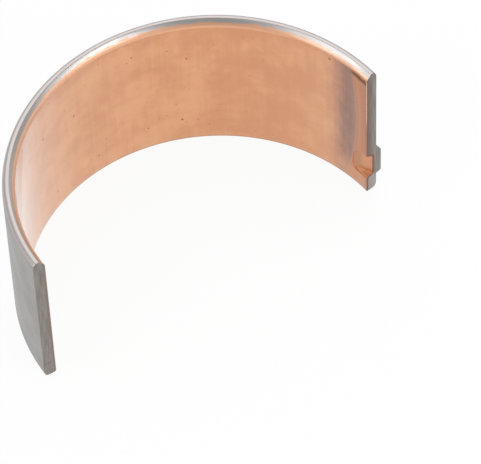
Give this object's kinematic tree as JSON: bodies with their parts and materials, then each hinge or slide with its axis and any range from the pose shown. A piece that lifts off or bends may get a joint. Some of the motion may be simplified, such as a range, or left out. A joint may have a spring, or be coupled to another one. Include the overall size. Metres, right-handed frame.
{
  "type": "engine bearing shell",
  "caption": "Half-round plain bearing shell for an engine: a thin steel back with a copper alloy lining, chamfered edges, flat joint faces and a punched locating lug at one end.",
  "frame": {"origin": "on the axis of the running face, half way along the shell", "axes": "+Z along the shaft axis, away from the end that the lug is near, so the shell stands on its lower end face; +Y to the crown of the arc; +X to the joint face that has the lug"},
  "size_m": [0.0621, 0.0298, 0.027],
  "materials": {
    "steel_back": "satin steel with fine marks along the shaft axis, bare, with turned rims and faint stains",
    "bearing_lining": "satin copper alloy, bored, with fine scuffs and specks"
  },
  "bodies": {
    "root": {"steel_back": "steel_back", "bearing_lining": "bearing_lining"}
  },
  "joints": []
}
